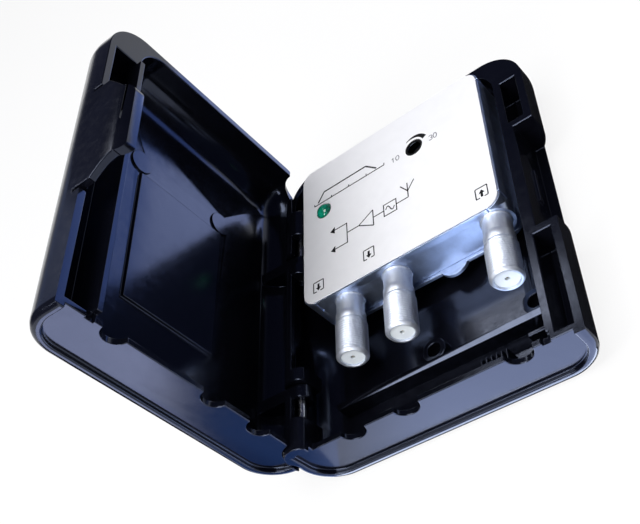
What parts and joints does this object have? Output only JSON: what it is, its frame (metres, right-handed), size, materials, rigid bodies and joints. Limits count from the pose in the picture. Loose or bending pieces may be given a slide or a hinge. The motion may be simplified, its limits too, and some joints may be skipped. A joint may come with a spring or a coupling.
{
  "type": "tv signal amplifier",
  "caption": "Mast-head aerial amplifier: a metal module with threaded coaxial ports, a lamp and a gain control, in a black hinged weather case with cable notches.",
  "frame": {"origin": "middle of the base tray's flat back face", "axes": "+Z out of the tray towards the lid's side, -Y towards the cable end, -X towards the hinge"},
  "size_m": [0.1022, 0.1104, 0.1021],
  "materials": {
    "case_plastic": "gloss",
    "pin_steel": "satin",
    "screw_steel": "satin",
    "module_metal": "satin",
    "label_white": "satin",
    "board_green": "satin",
    "port_metal": "satin",
    "port_insulator": "satin",
    "contact_brass": "satin",
    "lamp_green": "gloss",
    "trimmer_blue": "satin",
    "rotor_dark": "satin",
    "chip_black": "matte",
    "tinned_sheet": "satin",
    "ferrite": "matte",
    "capacitor_can": "satin",
    "capacitor_tan": "matte"
  },
  "bodies": {
    "base": {"base_tray": "case_plastic", "hinge_pin_near": "pin_steel", "hinge_pin_far": "pin_steel", "module_screws": "screw_steel", "amp_housing": "module_metal", "back_plate": "module_metal", "front_label": "label_white", "circuit_board": "board_green", "supply_output_body": "port_metal", "second_output_body": "port_metal", "aerial_input_body": "port_metal", "supply_output_insulator": "port_insulator", "second_output_insulator": "port_insulator", "aerial_input_insulator": "port_insulator", "supply_output_contact": "contact_brass", "second_output_contact": "contact_brass", "aerial_input_contact": "contact_brass", "power_lamp": "lamp_green", "gain_trimmer_body": "trimmer_blue", "amplifier_chip": "chip_black", "filter_can": "tinned_sheet", "stage_shield": "tinned_sheet", "splitter_core": "ferrite", "supply_choke": "ferrite", "smoothing_capacitor": "capacitor_can", "voltage_regulator": "chip_black", "chip_capacitors": "capacitor_tan", "chip_resistors": "chip_black"},
    "lid": {"lid": "case_plastic"},
    "gain_rotor": {"gain_trimmer_rotor": "rotor_dark"}
  },
  "joints": [
    {"name": "lid_hinge", "type": "hinge", "parent": "base", "child": "lid", "pos_m": [-0.0403, 0, 0.0164], "axis": [0, -1, 0], "range_deg": [-88.6, 0]},
    {"name": "gain_turn", "type": "hinge", "parent": "base", "child": "gain_rotor", "pos_m": [0.0083, 0.0321, 0.0165], "axis": [0, 0, 1], "range_deg": [-135, 135]}
  ]
}
